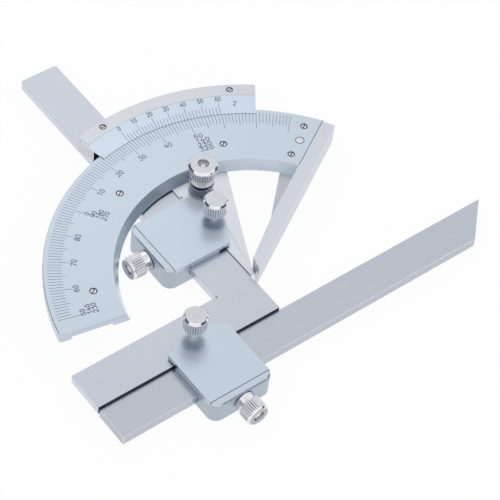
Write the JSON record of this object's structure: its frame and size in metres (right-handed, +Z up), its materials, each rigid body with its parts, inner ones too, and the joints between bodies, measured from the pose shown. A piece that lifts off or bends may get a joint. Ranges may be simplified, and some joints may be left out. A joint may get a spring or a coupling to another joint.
{
  "type": "bevel protractor",
  "caption": "Arc-type universal bevel protractor with sliding vernier carrier, clamped square and straight blade.",
  "frame": {"origin": "centre of the divided arc, on the surface that the tool lies on", "axes": "+Z up, square to the face of the scale; +X along the base blade's working edge, away from the centre; the base blade's working edge faces -Y"},
  "size_m": [0.1423, 0.1589, 0.0177],
  "materials": {
    "satin_chrome": "satin chrome plate, matt, cool blue-grey",
    "ground_steel": "fine ground steel with a lengthwise grain",
    "turned_steel": "bright turned and knurled steel",
    "brass": "turned brass"
  },
  "bodies": {
    "main_scale": {"main_scale": "satin_chrome", "base_blade": "ground_steel", "base_screws": "turned_steel", "base_dowel": "turned_steel", "sector_rack": "ground_steel", "rack_screws": "turned_steel"},
    "carrier": {"carrier_plate": "ground_steel", "rim_block": "ground_steel", "vernier_scale": "satin_chrome", "vernier_screws": "turned_steel", "guide_shoes": "ground_steel", "shoe_screws": "turned_steel", "rim_screws": "turned_steel", "brake_stud": "turned_steel", "brake_washer": "turned_steel", "pinion_bush": "brass"},
    "brake_nut": {"brake_nut": "turned_steel"},
    "fine_adjust": {"fine_adjust_pinion": "turned_steel", "fine_adjust_knob": "turned_steel"},
    "clamp_1": {"clamp_1_body": "satin_chrome", "clamp_1_cover": "satin_chrome", "clamp_1_cover_screws": "turned_steel", "clamp_1_pressure_pad": "brass", "clamp_1_draw_bolt": "turned_steel"},
    "clamp_1_thumbscrew": {"clamp_1_thumbscrew": "turned_steel"},
    "clamp_1_draw_nut": {"clamp_1_draw_nut": "turned_steel"},
    "square": {"square": "ground_steel"},
    "clamp_2": {"clamp_2_body": "satin_chrome", "clamp_2_cover": "satin_chrome", "clamp_2_cover_screws": "turned_steel", "clamp_2_pressure_pad": "brass", "clamp_2_draw_bolt": "turned_steel"},
    "clamp_2_thumbscrew": {"clamp_2_thumbscrew": "turned_steel"},
    "clamp_2_draw_nut": {"clamp_2_draw_nut": "turned_steel"},
    "straight_blade": {"straight_blade": "ground_steel"}
  },
  "joints": [
    {"name": "carrier_turn", "type": "hinge", "parent": "main_scale", "child": "carrier", "pos_m": [0, 0, 0.0087], "axis": [0, 0, 1], "range_deg": [-19.33, 30.67]},
    {"name": "brake_nut_turn", "type": "hinge", "parent": "carrier", "child": "brake_nut", "pos_m": [0.02632, 0.03118, 0.0133], "axis": [0, 0, 1], "range_deg": [0, 360]},
    {"name": "fine_adjust_turn", "type": "hinge", "parent": "carrier", "child": "fine_adjust", "pos_m": [0.03999, 0.04338, 0.004], "axis": [0, 0, 1], "range_deg": [-361, 573]},
    {"name": "clamp_1_slide", "type": "slide", "parent": "carrier", "child": "clamp_1", "axis": [0.51, 0.8601, 0], "range_m": [-0.0075, 0.0004]},
    {"name": "clamp_1_thumbscrew_turn", "type": "hinge", "parent": "clamp_1", "child": "clamp_1_thumbscrew", "pos_m": [0.01481, 0.02203, 0.0124], "axis": [0, 0, 1], "range_deg": [0, 360]},
    {"name": "clamp_1_draw_nut_turn", "type": "hinge", "parent": "clamp_1", "child": "clamp_1_draw_nut", "pos_m": [-0.01048, 0.03702, 0.00425], "axis": [-0.8601, 0.51, 0], "range_deg": [0, 360]},
    {"name": "square_slide", "type": "slide", "parent": "clamp_1", "child": "square", "axis": [0.51, 0.8601, 0], "range_m": [-0.06, 0.01]},
    {"name": "clamp_2_slide", "type": "slide", "parent": "square", "child": "clamp_2", "axis": [0.8601, -0.51, 0], "range_m": [-0.025, 0.017]},
    {"name": "clamp_2_thumbscrew_turn", "type": "hinge", "parent": "clamp_2", "child": "clamp_2_thumbscrew", "pos_m": [-0.03042, 0.00967, 0.0118], "axis": [0, 0, 1], "range_deg": [0, 360]},
    {"name": "clamp_2_draw_nut_turn", "type": "hinge", "parent": "clamp_2", "child": "clamp_2_draw_nut", "pos_m": [-0.04542, -0.01562, 0.00395], "axis": [-0.51, -0.8601, 0], "range_deg": [0, 360]},
    {"name": "straight_blade_slide", "type": "slide", "parent": "clamp_2", "child": "straight_blade", "axis": [0.8601, -0.51, 0], "range_m": [-0.06, 0.022]}
  ],
  "couplings": [
    {"joint": "fine_adjust_turn", "follows": "carrier_turn", "ratio": 18.667}
  ]
}
